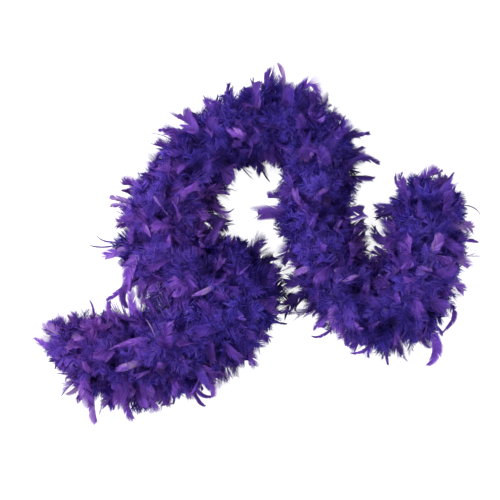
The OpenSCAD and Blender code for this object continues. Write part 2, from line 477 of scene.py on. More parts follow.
def ribbons(centre, side, half):
    """Vertices and triangles of flat strips that end in a point. centre is (strips, points, 3)."""
    count, points = centre.shape[:2]
    left = centre[:, :-1] - side[:, :-1] * half[:, :-1, None]
    right = centre[:, :-1] + side[:, :-1] * half[:, :-1, None]
    body = np.stack([left, right], 2).reshape(count, -1, 3)
    vertices = np.concatenate([body, centre[:, -1:]], 1)
    size = vertices.shape[1]
    a = np.arange(points - 2) * 2
    tip = size - 1
    one = np.concatenate([np.stack([a, a + 1, a + 3], 1), np.stack([a, a + 3, a + 2], 1),
                          [[tip - 2, tip - 1, tip]]])
    triangles = (one[None] + np.arange(count)[:, None, None] * size).reshape(-1, 3)
    along = np.concatenate([np.repeat(np.linspace(0, 1, points)[:-1], 2), [1.0]])
    across = np.concatenate([np.tile([-1.0, 1.0], points - 1), [0.0]])
    return vertices.reshape(-1, 3), triangles, np.tile(along, count), np.tile(across, count), size


PAINTED_SHADE_HEIGHTS = (0.0, 0.03, 0.08, 0.13)        # heights above the floor, and the painted shade of the feathers there: darker towards the floor, a little lighter on top
PAINTED_SHADES_BY_HEIGHT = (0.56, 0.76, 1.0, 1.06)

# Painted light and shade: places where the feathers are darker, as painted shade, and places where they are
# lighter, as painted light, listed on the same plan as ROUTE: the middle of the place, how wide it is, and
# how light it is.
PAINTED_LIGHT_PLACES = [
    # painted shade deep between two stretches of the boa, and inside its bends
    (0.06, -0.12, 0.03, 0.5), (0.01, 0.0, 0.03, 0.55), (0.02, 0.145, 0.03, 0.6), (0.09, -0.12, 0.025, 0.55),
    (0.225, 0.04, 0.03, 0.55), (0.24, 0.0, 0.025, 0.6), (0.25, 0.06, 0.02, 0.65), (0.21, 0.11, 0.025, 0.65),
    (-0.075, 0.07, 0.025, 0.55), (-0.01, -0.24, 0.03, 0.7), (0.2, 0.235, 0.025, 0.65),
    (0.27, 0.09, 0.02, 0.7), (0.035, -0.03, 0.025, 0.6), (0.385, 0.145, 0.025, 0.7),
    (0.3, -0.22, 0.02, 0.6), (0.205, 0.155, 0.025, 0.6), (-0.105, -0.03, 0.022, 0.6),
    (-0.27, -0.305, 0.02, 0.7), (0.12, -0.135, 0.02, 0.7), (-0.135, 0.185, 0.02, 0.65),
    (0.11, 0.24, 0.018, 0.7), (0.255, -0.185, 0.03, 0.7), (-0.275, -0.165, 0.03, 0.7),
    (-0.03, -0.13, 0.035, 0.8), (-0.145, 0.14, 0.03, 0.88), (-0.07, 0.21, 0.03, 0.88),
    # painted shade in the pits among the feathers
    (0.145, 0.09, 0.02, 0.25), (0.175, 0.07, 0.014, 0.3), (0.2, -0.1, 0.017, 0.2),
    (-0.1, -0.05, 0.02, 0.25), (-0.065, 0.17, 0.02, 0.35), (-0.01, 0.18, 0.02, 0.35),
    (0.28, -0.16, 0.018, 0.22), (0.255, -0.175, 0.015, 0.35), (-0.115, 0.21, 0.02, 0.32),
    (0.005, -0.065, 0.02, 0.5), (-0.09, -0.23, 0.02, 0.25), (0.035, 0.275, 0.018, 0.45),
    (0.035, 0.24, 0.016, 0.45), (-0.095, 0.095, 0.02, 0.35), (-0.195, -0.255, 0.018, 0.2),
    (0.36, 0.08, 0.02, 0.35), (-0.235, 0.01, 0.018, 0.25), (0.0, 0.275, 0.02, 0.5),
    (-0.295, -0.24, 0.018, 0.35), (0.24, -0.07, 0.016, 0.35), (0.36, -0.13, 0.018, 0.4),
    (-0.335, -0.28, 0.018, 0.4), (0.21, 0.01, 0.018, 0.35), (-0.18, 0.115, 0.016, 0.35),
    (-0.25, -0.29, 0.018, 0.4), (0.19, 0.145, 0.018, 0.5), (-0.155, -0.215, 0.016, 0.45),
    (0.1, 0.17, 0.018, 0.2), (0.135, 0.06, 0.014, 0.45), (0.22, -0.025, 0.018, 0.4),
    (-0.125, 0.155, 0.016, 0.35), (-0.165, -0.005, 0.014, 0.6), (-0.06, -0.05, 0.016, 0.55),
    (-0.275, -0.195, 0.02, 0.55), (-0.29, -0.17, 0.018, 0.75), (-0.07, -0.28, 0.02, 0.55),
    (-0.045, -0.25, 0.02, 0.6), (-0.07, 0.035, 0.02, 0.6), (-0.06, 0.07, 0.018, 0.6),
    (-0.065, 0.11, 0.018, 0.6), (0.39, 0.12, 0.018, 0.7), (-0.01, 0.34, 0.018, 0.75),
    (0.29, 0.14, 0.02, 0.75), (-0.055, 0.245, 0.016, 0.7), (0.38, 0.005, 0.016, 0.7),
    (0.27, 0.04, 0.02, 0.65), (0.31, 0.005, 0.018, 0.75), (0.27, -0.015, 0.018, 0.7),
    (-0.255, -0.325, 0.016, 0.7), (-0.34, -0.325, 0.016, 0.75), (-0.34, -0.21, 0.018, 0.7),
    (0.04, 0.03, 0.016, 0.75),
    # painted light where the feathers are turned to the light
    (-0.21, 0.13, 0.02, 1.2), (-0.39, -0.16, 0.02, 1.4), (0.35, -0.03, 0.018, 1.15),
    (-0.22, -0.15, 0.02, 1.2), (0.22, -0.055, 0.02, 1.45), (0.215, -0.21, 0.025, 1.4),
    (0.17, 0.035, 0.02, 1.45), (0.42, 0.03, 0.022, 1.3), (-0.205, -0.12, 0.025, 2.0),
    (0.23, -0.18, 0.018, 1.5), (0.165, 0.165, 0.02, 1.25), (-0.23, -0.265, 0.02, 1.3),
    (-0.16, -0.28, 0.02, 1.3), (0.18, 0.19, 0.018, 1.2), (0.25, -0.055, 0.016, 1.2),
    (0.358, -0.187, 0.022, 1.25), (-0.315, -0.295, 0.02, 1.2), (-0.395, -0.285, 0.035, 1.4),
    (-0.405, -0.24, 0.025, 1.1), (0.35, 0.0, 0.03, 1.35), (0.03, 0.225, 0.02, 1.3),
    (-0.145, -0.01, 0.03, 1.15), (0.07, 0.05, 0.015, 1.2), (0.32, 0.055, 0.018, 1.2),
    (0.16, -0.05, 0.03, 1.3), (-0.135, -0.275, 0.018, 1.2), (0.12, 0.16, 0.03, 1.15),
    (0.1, 0.0, 0.025, 1.15), (-0.185, -0.125, 0.025, 1.3), (0.355, -0.045, 0.025, 1.25),
    (0.155, -0.105, 0.02, 1.3), (0.25, -0.125, 0.018, 1.25), (0.165, 0.265, 0.018, 1.2),
    (0.16, 0.165, 0.02, 1.25), (-0.195, -0.02, 0.02, 1.2), (0.16, 0.035, 0.018, 1.25),
    (-0.13, -0.235, 0.018, 1.3), (0.1, 0.12, 0.018, 1.2), (-0.225, 0.125, 0.02, 1.2),
    (-0.06, -0.165, 0.03, 1.05), (0.14, 0.02, 0.025, 1.15), (-0.18, 0.125, 0.035, 0.85),
    (-0.025, 0.245, 0.03, 0.92), (0.42, 0.02, 0.03, 1.25), (0.41, -0.06, 0.025, 1.2),
    (-0.425, -0.17, 0.025, 1.25), (-0.17, -0.165, 0.03, 1.45), (-0.23, -0.235, 0.03, 1.2),
    (-0.29, 0.095, 0.03, 1.25), (-0.24, 0.12, 0.025, 1.2), (-0.13, 0.25, 0.02, 1.25),
    (0.16, -0.1, 0.025, 1.15), (0.1, 0.105, 0.025, 1.2), (-0.04, -0.07, 0.035, 1.25),
    (0.31, -0.11, 0.025, 1.2), (-0.24, -0.08, 0.03, 1.2), (0.21, -0.215, 0.02, 1.2),
    (0.12, -0.19, 0.02, 1.2),
]
VANE_PAINTED_SHARE = 0.6            # how much the vanes and quills take of this painted light and shade, beside the down


def painted_light_at(points):
    """The painted light and shade of the feathers at each point, by where it lies on the plan."""
    light = np.ones(len(points))
    for x, y, radius, lightness in PAINTED_LIGHT_PLACES:
        squared = (points[:, 0] - CENTRE_SHIFT[0] - x) ** 2 + (points[:, 1] - CENTRE_SHIFT[1] - y) ** 2
        light *= 1 + (lightness - 1) * np.exp(-squared / (2 * (0.7 * radius) ** 2))
    return light


SOFTNESS = 0.7              # how far the down is shaded as one soft body, rather than fibre by fibre
VANE_SOFTNESS = 0.25        # and how far the vanes and quills are


def soft_normals(vertices, triangles, core, softness):
    """Turns every triangle to face away from the core line, and mixes its normal with the way outward."""
    nearest = np.linalg.norm(vertices[:, None] - core[None], axis=2).argmin(axis=1)
    outward = unit(vertices - core[nearest])
    a, b, c = (vertices[triangles[:, i]] for i in range(3))
    normal = unit(np.cross(b - a, c - a))
    inward = (normal * outward[triangles[:, 0]]).sum(axis=1) < 0
    triangles = np.where(inward[:, None], triangles[:, ::-1], triangles)
    normal = np.where(inward[:, None], -normal, normal)
    fibre = outward.copy()
    for i in range(3):
        fibre[triangles[:, i]] = normal
    return triangles, unit(softness[:, None] * outward + (1 - softness[:, None]) * fibre)


class Parts:
    """Collects the fibres of one mesh. Each fibre has a small cell of its own on the map for baking."""

    CELL_ASPECT = 3.5

    def __init__(self):
        self.batches = []
        self.count = self.fibres = 0

    def put(self, vertices, triangles, slot, size, tone, shade, along, across):
        """Adds fibres of size vertices each. tone and shade have one value for each fibre."""
        fibres = len(vertices) // size
        self.batches.append((
            vertices, triangles + self.count, np.full(len(triangles), slot), np.repeat(tone, size),
            np.repeat(shade, size), along, across, self.fibres + np.repeat(np.arange(fibres), size),
            np.full(len(vertices), 1.0 if slot == DOWN else VANE_PAINTED_SHARE)))
        self.count += len(vertices)
        self.fibres += fibres

    def build(self, name, materials, core):
        """The object of all the fibres. core is a line of points inside them."""
        vertices, triangles, slots, tone, shade, along, across, fibre, painted_share = (
            np.concatenate(x) for x in zip(*self.batches))
        columns = int(np.ceil(np.sqrt(self.CELL_ASPECT * self.fibres)))
        rows = -(-self.fibres // columns)
        uv = np.stack([(fibre % columns + 0.5 + 0.25 * across) / columns,
                       (fibre // columns + 0.1 + 0.8 * along) / rows], 1)
        vertices = flattened(vertices)
        # painted shade by height above the floor, and painted light and shade by place, laid over each
        # fibre's own lightness
        shade = shade * np.interp(vertices[:, 2], PAINTED_SHADE_HEIGHTS, PAINTED_SHADES_BY_HEIGHT) * painted_light_at(vertices) ** painted_share
        softness = np.where(painted_share < 1, VANE_SOFTNESS, SOFTNESS)
        triangles, normals = soft_normals(vertices, triangles, core, softness)
        return mesh_object(name, vertices, triangles, materials, slots, uv=uv, normals=normals, tone=tone,
                           shade=shade, along=along)


DOWN, VANE, QUILL = range(3)
BARB_AT = np.array([0.0, 0.38, 0.74, 1.0])      # points along a barb of down
FINE_BARB_AT = np.array([0.0, 0.72, 1.0])       # and along one of the very fine barbs
VANE_POINTS = 4             # along a barb of a vane
VANE_END = 0.995            # share of the quill at which the vane ends
SPLITS = 0.16               # share of the barbs of a vane that are split from the one before
LOCK = 4                    # barbs in one lock of down


def barb_slots(quill, per_side):
    """The feather, the row from its root and the side, 0 or 1, of each barb."""
    count = len(quill[0])
    slot = np.tile(np.arange(2 * per_side), count)
    return np.repeat(np.arange(count), 2 * per_side), slot // 2, slot % 2


def barb_roots(quill, feather, side, u):
    """Where barbs leave their quills, and the axes there, with the second one towards the barb's side."""
    point, t, b, n = (at(x, feather, u) for x in quill)
    return point, t, b * np.where(side == 0, -1.0, 1.0)[:, None], n


def grow_down(parts, rng, quill, tone, shade, per_side, from_u, to_u, barb_length, mess, wide=1.0,
              barb_at=BARB_AT):
    """Soft wavy barbs along both sides of a stretch of each quill, gathered in locks of a few barbs. They fan
    out in the plane of the feather, and mess is how far the locks stray from it."""
    feather, row, side = barb_slots(quill, per_side)
    feathers, barbs = len(quill[0]), len(row)
    v = (row + rng.uniform(-0.4, 0.4, barbs)) / per_side
    u = np.clip(from_u + (to_u - from_u) * v, 0.01, 0.99)
    lock = feather * (per_side // LOCK + 1) * 2 + (row // LOCK) * 2 + side
    locks = int(lock.max()) + 1
    stray = mess[feather]
    lift = stray * (rng.normal(0, 0.40, locks)[lock] + rng.normal(0, 0.38, barbs))
    turn = 0.45 + stray * (rng.normal(0, 0.38, locks)[lock] + rng.normal(0, 0.28, barbs))
    curl = stray * (rng.normal(0, 0.60, locks)[lock] + rng.normal(0, 0.38, barbs))
    feather_curl = rng.normal(0, 0.60, feathers)[feather]
    lock_tone = rng.normal(0, 0.10, locks)[lock]
    lock_shade = np.exp(rng.normal(0, 0.10, locks))[lock] * np.exp(rng.normal(0, 0.32, barbs))
    root, t, b, n = barb_roots(quill, feather, side, u)
    start = unit((0.45 + 0.5 * v)[:, None] * t + 0.9 * b + lift[:, None] * n)
    pull = turn[:, None] * t + (curl + feather_curl)[:, None] * n - np.array([0, 0, 0.15])
    outline = np.sin(np.pi * np.clip(0.20 + 0.70 * v, 0, 1)) ** 0.5
    size = barb_length * outline * rng.uniform(0.78, 1.12, barbs)
    direction = unit(start[:, None] + barb_at[None, :, None] * pull[:, None])
    step = size[:, None, None] * np.diff(barb_at)[None, :, None]
    centre = root[:, None] + travelled(direction, step)
    face = n[:, None] + (stray * 0.5)[:, None, None] * unit(rng.normal(0, 1, (barbs, 3)))[:, None]
    ribbon_side = unit(np.cross(direction, face))
    wave = np.sin(barb_at[None] * 6 + rng.uniform(0, 6.3, barbs)[:, None]) * barb_at[None]
    centre = centre + ribbon_side * (wave * 0.0012)[..., None]
    half = (np.broadcast_to(wide, feathers)[feather] * rng.uniform(0.00045, 0.00080, barbs))[:, None]
    half = half * (1 - 0.4 * barb_at[None] ** 2)
    vertices, triangles, along, across, size = ribbons(centre, ribbon_side, half)
    parts.put(vertices, triangles, DOWN, size, tone[feather] + lock_tone, shade[feather] * lock_shade, along,
              across)


def grow_vane(parts, rng, quill, length, tone, shade, width, from_u, per_side, cup):
    """The flat blade of each feather: barbs that lie edge to edge along the quill, with a split here and
    there."""
    feather, row, side = barb_slots(quill, per_side)
    count, barbs = len(quill[0]), len(row)
    v = (row + 0.5) / per_side
    u = from_u + (VANE_END - from_u) * v
    split = rng.random((count, per_side, 2)) < SPLITS
    group = np.cumsum(split, axis=1) + np.arange(2)[None, None] * per_side
    group = (group + np.arange(count)[:, None, None] * 2 * per_side)[feather, row, side]
    groups = int(group.max()) + 1
    g_angle = rng.normal(0, 0.13, groups)[group]
    g_lift = rng.normal(0, 0.16, groups)[group]
    g_size = rng.uniform(0.82, 1.08, groups)[group]
    outline = np.sin(np.pi * (0.12 + 0.88 * v) ** 0.80) ** 0.75 * 0.95 + 0.05
    spread = 0.95 - 0.62 * v + g_angle
    size = width[feather] * outline * g_size / np.maximum(np.sin(spread), 0.35)
    size = size * rng.uniform(0.93, 1.04, barbs)
    root, t, b, n = barb_roots(quill, feather, side, u)
    w = np.linspace(0, 1, VANE_POINTS)[None, :, None]
    sideways = np.cos(spread)[:, None] * t + np.sin(spread)[:, None] * b
    lift = (cup[feather] + g_lift)[:, None, None] * n[:, None] * w ** 2
    forward = 0.22 * t[:, None] * w ** 2
    centre = root[:, None] + size[:, None, None] * (w * sideways[:, None] + lift + forward)
    spacing = length[feather] * (VANE_END - from_u) / per_side
    half = (0.62 * spacing)[:, None] * np.array([1.0, 1.0, 0.9, 0.5])[None]
    tilt = np.where(side == 0, -0.15, 0.15)[:, None]
    edge = np.broadcast_to(unit(t + tilt * n)[:, None], centre.shape)
    vertices, triangles, along, across, size = ribbons(centre, edge, half)
    g_shade = shade[feather] * np.exp(rng.normal(0, 0.10, groups))[group]
    g_shade = g_shade * np.exp(rng.normal(0, 0.16, barbs))
    along = along * 0.6 + np.repeat(0.4 * v, size)
    parts.put(vertices, triangles, VANE, size, tone[feather], g_shade, along, across)


def grow_quill(parts, quill, tone, shade, thick):
    """The thin tapering shaft of each feather."""
    line, _, b, n = (x[:, ::2] for x in quill)
    count, rows = line.shape[:2]
    angles = np.array([0, 2, 4]) * np.pi / 3
    taper = (1 - 0.85 * np.linspace(0, 1, rows))[None, :, None, None]
    ring = (np.cos(angles)[None, None, :, None] * b[:, :, None]
            + np.sin(angles)[None, None, :, None] * n[:, :, None])
    vertices = line[:, :, None] + ring * taper * thick
    along = np.tile(np.repeat(np.linspace(0, 1, rows), 3), count)
    across = np.tile([-1.0, 0.0, 1.0], count * rows)
    parts.put(vertices.reshape(-1, 3), tube_triangles(count, rows, 3), QUILL, rows * 3, tone, shade, along,
              across)


def fullness(s):
    """How long the feathers are along the cord, as a share of their usual length: shorter at its two ends."""
    return np.interp(s, [0, 0.03, 0.09, 0.32, 0.45, 1.72, 1.77, 1.80],
                     [0.66, 0.90, 1.10, 1.10, 1.0, 1.0, 0.88, 0.66])


# How far the feathers reach to the left and to the right of the cord, as a share of their usual reach.
LEFT_REACH = ([0, 0.05, 0.09, 0.14, 0.18, 0.23, 0.32, 0.5, 0.59, 0.64, 0.72, 0.77, 0.81, 0.9, 1, 1.08,
               1.17, 1.26, 1.35, 1.5, 1.62, 1.67, 1.72, 1.8],
              [1.1, 1.05, 0.95, 1.1, 1.15, 1.25, 1, 1, 1.25, 1.1, 0.95, 0.75, 0.9, 1, 1, 0.9, 1.1, 0.95,
               0.9, 1, 1.1, 1.1, 1, 1])
RIGHT_REACH = ([0, 0.03, 0.06, 0.09, 0.14, 0.18, 0.27, 0.32, 0.36, 0.45, 0.54, 0.6, 0.77, 0.81, 0.86,
                0.9, 0.95, 1.04, 1.13, 1.18, 1.26, 1.31, 1.36, 1.44, 1.49, 1.53, 1.6, 1.67, 1.76, 1.8],
               [0.3, 0.5, 0.95, 1.1, 1.25, 1.1, 1, 0.92, 0.88, 0.9, 1.2, 1.05, 1.15, 1, 0.65, 0.7, 0.9,
                0.9, 0.8, 0.8, 1, 0.75, 0.85, 1.1, 0.9, 1.1, 0.95, 0.85, 1.1, 1.1])


def reach(s, angle):
    """The length of feathers that leave the cord at s and at an angle round it, as a share of the usual."""
    left = (np.interp(s, *LEFT_REACH) - 1) * np.maximum(np.cos(angle), 0)
    right = (np.interp(s, *RIGHT_REACH) - 1) * np.maximum(-np.cos(angle), 0)
    return fullness(s) * (1 + left + right)


def dye(s):
    """How warm the dye is along the cord: a hand-dyed boa is never quite even."""
    return np.interp(s, [0, 0.05, 0.12, 0.25, 0.4, 0.6, 0.68, 0.75, 0.95, 1.08, 1.2, 1.4, 1.5, 1.6, 1.7, 1.8],
                     [1.25, 0.6, 0.25, 0.12, -0.25, 0.22, 0.28, 0.16, -0.1, -0.3, -0.05, 0, -0.12, -0.05,
                      -0.05, -0.35])


# Feathers that stand out from the rest: where each bends and where its tip is, on the same plan as ROUTE;
# then half its width, the warmth of its dye and its lightness, which paints shade on those deep between
# stretches and inside the arch, and light on those over the top.
STANDOUTS = np.array([
    # at the edge of the arch
    (0.055, 0.34, 0.055, 0.045, 0.37, 0.06, 0.01, 0.5, 1.9),
    (0.105, 0.33, 0.055, 0.128, 0.312, 0.05, 0.016, 0.5, 1.3),
    (0.02, 0.335, 0.05, 0.02, 0.355, 0.05, 0.004, 0.3, 0.9),
    (0.0, 0.312, 0.09, 0.008, 0.335, 0.07, 0.01, 0.45, 0.9),
    (-0.095, 0.285, 0.04, -0.11, 0.31, 0.04, 0.0025, 0.2, 0.7),
    (-0.13, 0.24, 0.09, -0.155, 0.27, 0.06, 0.022, 0.5, 0.72),
    (-0.18, 0.22, 0.04, -0.22, 0.23, 0.045, 0.0012, 0.3, 0.8),
    (-0.175, 0.23, 0.05, -0.2, 0.235, 0.045, 0.007, 0.5, 1.0),
    (-0.19, 0.19, 0.05, -0.21, 0.17, 0.04, 0.007, 0.5, 1.0),
    (-0.245, 0.115, 0.04, -0.275, 0.11, 0.04, 0.004, 0.3, 0.8),
    (-0.27, 0.09, 0.05, -0.3, 0.1, 0.05, 0.008, 0.5, 1.8),
    (-0.275, 0.08, 0.045, -0.3, 0.08, 0.045, 0.006, 0.5, 1.6),
    (0.205, 0.225, 0.04, 0.235, 0.23, 0.04, 0.006, 0.3, 0.8),
    (0.18, 0.23, 0.04, 0.21, 0.23, 0.035, 0.017, 0.05, 0.6),
    (0.155, 0.265, 0.045, 0.185, 0.255, 0.04, 0.009, 0.3, 0.8),
    (0.115, 0.305, 0.045, 0.135, 0.3, 0.04, 0.01, 0.5, 0.9),
    (0.19, 0.195, 0.04, 0.225, 0.18, 0.035, 0.018, 0.05, 0.6),
    (0.215, 0.18, 0.04, 0.255, 0.17, 0.04, 0.009, 0.2, 0.7),
    (0.215, 0.14, 0.04, 0.245, 0.14, 0.035, 0.008, 0.2, 0.65),
    # between the two stretches on the right, darker as painted shade
    (0.2, 0.035, 0.05, 0.225, 0.045, 0.035, 0.017, 0.05, 0.65),
    (0.2, 0.07, 0.05, 0.222, 0.07, 0.035, 0.016, 0.2, 0.9),
    (0.275, 0.075, 0.05, 0.25, 0.075, 0.035, 0.015, 0.05, 0.65),
    (0.305, 0.115, 0.06, 0.3, 0.148, 0.045, 0.013, 0.45, 0.9),
    (0.38, 0.12, 0.06, 0.395, 0.138, 0.045, 0.013, 0.4, 0.75),
    (0.285, -0.2, 0.05, 0.3, -0.225, 0.04, 0.014, 0.3, 0.75),
    (0.29, 0.03, 0.055, 0.262, 0.06, 0.04, 0.018, 0.2, 0.8),
    (0.295, 0.0, 0.055, 0.268, 0.018, 0.04, 0.018, 0.2, 0.75),
    (0.195, 0.01, 0.055, 0.226, 0.02, 0.04, 0.018, 0.1, 0.6),
    (0.2, -0.015, 0.055, 0.228, -0.008, 0.04, 0.017, 0.1, 0.6),
    # between the lower bend and the right stretch, darker as painted shade
    (0.075, -0.02, 0.05, 0.055, -0.04, 0.035, 0.011, 0.1, 0.6),
    (0.085, -0.11, 0.05, 0.06, -0.142, 0.035, 0.016, 0.1, 0.6),
    (0.125, -0.11, 0.05, 0.105, -0.142, 0.04, 0.015, 0.2, 0.65),
    (-0.008, -0.012, 0.05, 0.016, 0.008, 0.04, 0.018, 0.05, 0.6),
    (0.01, -0.04, 0.05, 0.035, -0.025, 0.04, 0.017, 0.05, 0.55),
    (0.025, -0.07, 0.05, 0.05, -0.055, 0.04, 0.016, 0.05, 0.55),
    (0.03, -0.1, 0.05, 0.062, -0.1, 0.035, 0.016, 0.1, 0.55),
    (0.085, -0.075, 0.05, 0.06, -0.078, 0.04, 0.016, 0.1, 0.6),
    # inside the arch, darker as painted shade
    (-0.09, 0.05, 0.055, -0.06, 0.038, 0.04, 0.019, 0.2, 0.65),
    (0.0, 0.175, 0.05, 0.01, 0.15, 0.04, 0.015, 0.05, 0.55),
    (0.04, 0.068, 0.06, 0.005, 0.062, 0.045, 0.018, 0.45, 0.7),
    (-0.025, 0.155, 0.04, -0.005, 0.135, 0.035, 0.0015, 0.1, 0.6),
    (0.015, 0.15, 0.04, 0.03, 0.13, 0.035, 0.002, 0.1, 0.6),
    (-0.075, 0.07, 0.045, -0.045, 0.075, 0.045, 0.003, 0.4, 0.9),
    (0.07, -0.02, 0.04, 0.06, -0.045, 0.03, 0.006, 0.3, 0.65),
    (0.075, -0.11, 0.04, 0.05, -0.125, 0.03, 0.009, 0.1, 0.55),
    (0.09, -0.12, 0.035, 0.085, -0.14, 0.03, 0.003, 0.1, 0.6),
    (0.04, -0.16, 0.04, 0.065, -0.165, 0.035, 0.003, 0.1, 0.6),
    # around the turn at the left
    (-0.31, -0.005, 0.045, -0.345, 0.0, 0.05, 0.002, 0.4, 0.8),
    (-0.3, 0.005, 0.05, -0.33, 0.02, 0.055, 0.002, 0.4, 0.9),
    (-0.285, -0.015, 0.05, -0.31, -0.025, 0.045, 0.012, 0.55, 1.6),
    (-0.25, 0.0, 0.05, -0.29, -0.01, 0.04, 0.01, 0.5, 1.0),
    (-0.24, -0.02, 0.05, -0.285, -0.04, 0.04, 0.012, 0.55, 1.0),
    (-0.23, -0.035, 0.07, -0.275, -0.065, 0.045, 0.013, 0.6, 1.05),
    (-0.24, -0.05, 0.06, -0.265, -0.095, 0.045, 0.014, 0.65, 1.1),
    (-0.28, -0.095, 0.04, -0.31, -0.115, 0.035, 0.006, 0.5, 1.3),
    (-0.272, -0.09, 0.045, -0.266, -0.132, 0.04, 0.01, 0.45, 0.75),
    (-0.225, -0.065, 0.06, -0.245, -0.11, 0.04, 0.013, 0.6, 1.0),
    (-0.205, -0.075, 0.065, -0.21, -0.12, 0.05, 0.016, 0.55, 1.15),
    (-0.19, -0.08, 0.065, -0.185, -0.125, 0.055, 0.016, 0.55, 1.1),
    # along the lower strand and its end
    (-0.25, -0.15, 0.075, -0.262, -0.085, 0.045, 0.013, 0.65, 1.15),
    (-0.255, -0.04, 0.075, -0.268, -0.1, 0.05, 0.014, 0.65, 1.2),
    (-0.35, -0.285, 0.08, -0.342, -0.34, 0.05, 0.018, 0.7, 1.1),
    (-0.285, -0.29, 0.08, -0.265, -0.34, 0.045, 0.019, 0.65, 1.05),
    (-0.225, -0.295, 0.08, -0.21, -0.345, 0.045, 0.019, 0.6, 1.05),
    (-0.195, -0.31, 0.05, -0.19, -0.335, 0.035, 0.013, 0.55, 0.95),
    (-0.145, -0.3, 0.045, -0.125, -0.305, 0.035, 0.014, 0.55, 0.9),
    (-0.335, -0.145, 0.045, -0.345, -0.115, 0.045, 0.003, 0.5, 1.0),
    (-0.305, -0.14, 0.04, -0.305, -0.12, 0.04, 0.006, 0.5, 1.2),
    (-0.435, -0.21, 0.045, -0.46, -0.195, 0.045, 0.01, 0.7, 1.2),
    (-0.415, -0.18, 0.06, -0.44, -0.172, 0.05, 0.015, 0.7, 1.7),
    (-0.38, -0.265, 0.045, -0.42, -0.265, 0.04, 0.003, 0.6, 0.9),
    (-0.37, -0.295, 0.04, -0.395, -0.31, 0.04, 0.007, 0.6, 2.0),
    (-0.34, -0.33, 0.05, -0.332, -0.368, 0.045, 0.01, 0.6, 1.7),
    (-0.27, -0.33, 0.05, -0.255, -0.36, 0.045, 0.01, 0.6, 1.45),
    (-0.17, -0.315, 0.035, -0.175, -0.33, 0.03, 0.003, 0.3, 0.7),
    (-0.12, -0.305, 0.04, -0.09, -0.315, 0.035, 0.006, 0.5, 0.9),
    (-0.125, -0.315, 0.035, -0.105, -0.335, 0.03, 0.005, 0.5, 0.9),
    (-0.11, -0.258, 0.075, -0.07, -0.275, 0.045, 0.02, 0.6, 1.25),
    # around the loop at the right
    (0.295, 0.12, 0.045, 0.29, 0.15, 0.045, 0.004, 0.4, 0.85),
    (0.35, 0.14, 0.06, 0.385, 0.15, 0.05, 0.014, 0.5, 1.0),
    (0.395, 0.13, 0.045, 0.41, 0.15, 0.045, 0.004, 0.4, 0.9),
    (0.44, 0.08, 0.045, 0.465, 0.06, 0.045, 0.0015, 0.2, 0.7),
    (0.42, 0.04, 0.07, 0.448, 0.03, 0.05, 0.014, 0.55, 1.6),
    (0.43, 0.01, 0.045, 0.46, 0.005, 0.045, 0.005, 0.5, 1.0),
    (0.415, -0.03, 0.055, 0.44, -0.045, 0.05, 0.011, 0.45, 1.7),
    (0.262, 0.008, 0.05, 0.244, 0.036, 0.045, 0.013, 0.1, 0.55),
    (0.275, 0.065, 0.045, 0.25, 0.055, 0.04, 0.008, 0.1, 0.6),
    (0.41, -0.08, 0.05, 0.43, -0.095, 0.045, 0.012, 0.5, 1.6),
    (0.41, -0.14, 0.045, 0.385, -0.185, 0.035, 0.007, 0.5, 0.95),
    (0.372, -0.205, 0.055, 0.357, -0.25, 0.045, 0.014, 0.45, 1.2),
    (0.27, -0.225, 0.04, 0.275, -0.25, 0.035, 0.004, 0.4, 0.85),
    (0.23, -0.215, 0.04, 0.195, -0.225, 0.035, 0.005, 0.5, 0.95),
    (0.145, -0.185, 0.04, 0.115, -0.19, 0.035, 0.004, 0.5, 0.9),
    # broad ones that lie over the top, lighter partly by paler dye and partly as painted light
    (0.16, -0.14, 0.085, 0.185, -0.2, 0.05, 0.017, 0.7, 1.15),
    (0.1, -0.05, 0.09, 0.08, -0.06, 0.08, 0.008, 0.6, 1.35),
    (0.36, -0.01, 0.115, 0.375, 0.02, 0.11, 0.012, 0.65, 1.25),
    (0.355, -0.055, 0.11, 0.325, -0.045, 0.105, 0.006, 0.6, 1.15),
    (0.205, -0.065, 0.11, 0.175, -0.075, 0.105, 0.006, 0.6, 1.2),
    (0.095, 0.08, 0.1, 0.075, 0.115, 0.09, 0.009, 0.55, 1.2),
    (-0.025, 0.22, 0.115, -0.06, 0.235, 0.11, 0.011, 0.7, 1.15),
    (-0.12, 0.125, 0.11, -0.15, 0.105, 0.105, 0.008, 0.7, 1.1),
    (-0.205, 0.095, 0.11, -0.18, 0.06, 0.1, 0.003, 0.6, 1.5),
    (-0.225, 0.04, 0.11, -0.215, 0.015, 0.1, 0.006, 0.7, 1.15),
    (-0.145, -0.085, 0.11, -0.17, -0.105, 0.1, 0.01, 0.6, 1.15),
    (-0.095, -0.09, 0.12, -0.13, -0.105, 0.115, 0.006, 0.6, 1.45),
    (-0.23, -0.195, 0.11, -0.3, -0.215, 0.11, 0.009, 0.65, 1.15),
    (-0.21, -0.175, 0.11, -0.225, -0.15, 0.11, 0.0015, 0.6, 1.8),
    (-0.245, -0.24, 0.12, -0.285, -0.255, 0.115, 0.01, 0.6, 1.55),
])
drawn_s, drawn_quill = drawn_quills(
    STANDOUTS[:, 0:3] + CENTRE_SHIFT, STANDOUTS[:, 3:6] + CENTRE_SHIFT,
    np.random.default_rng(7).normal(0, 0.20, len(STANDOUTS)))
drawn_tuft = np.minimum(drawn_s // PITCH, TUFTS - 1)
drawn_length = np.linalg.norm(np.diff(drawn_quill[0], axis=1), axis=2).sum(axis=1)


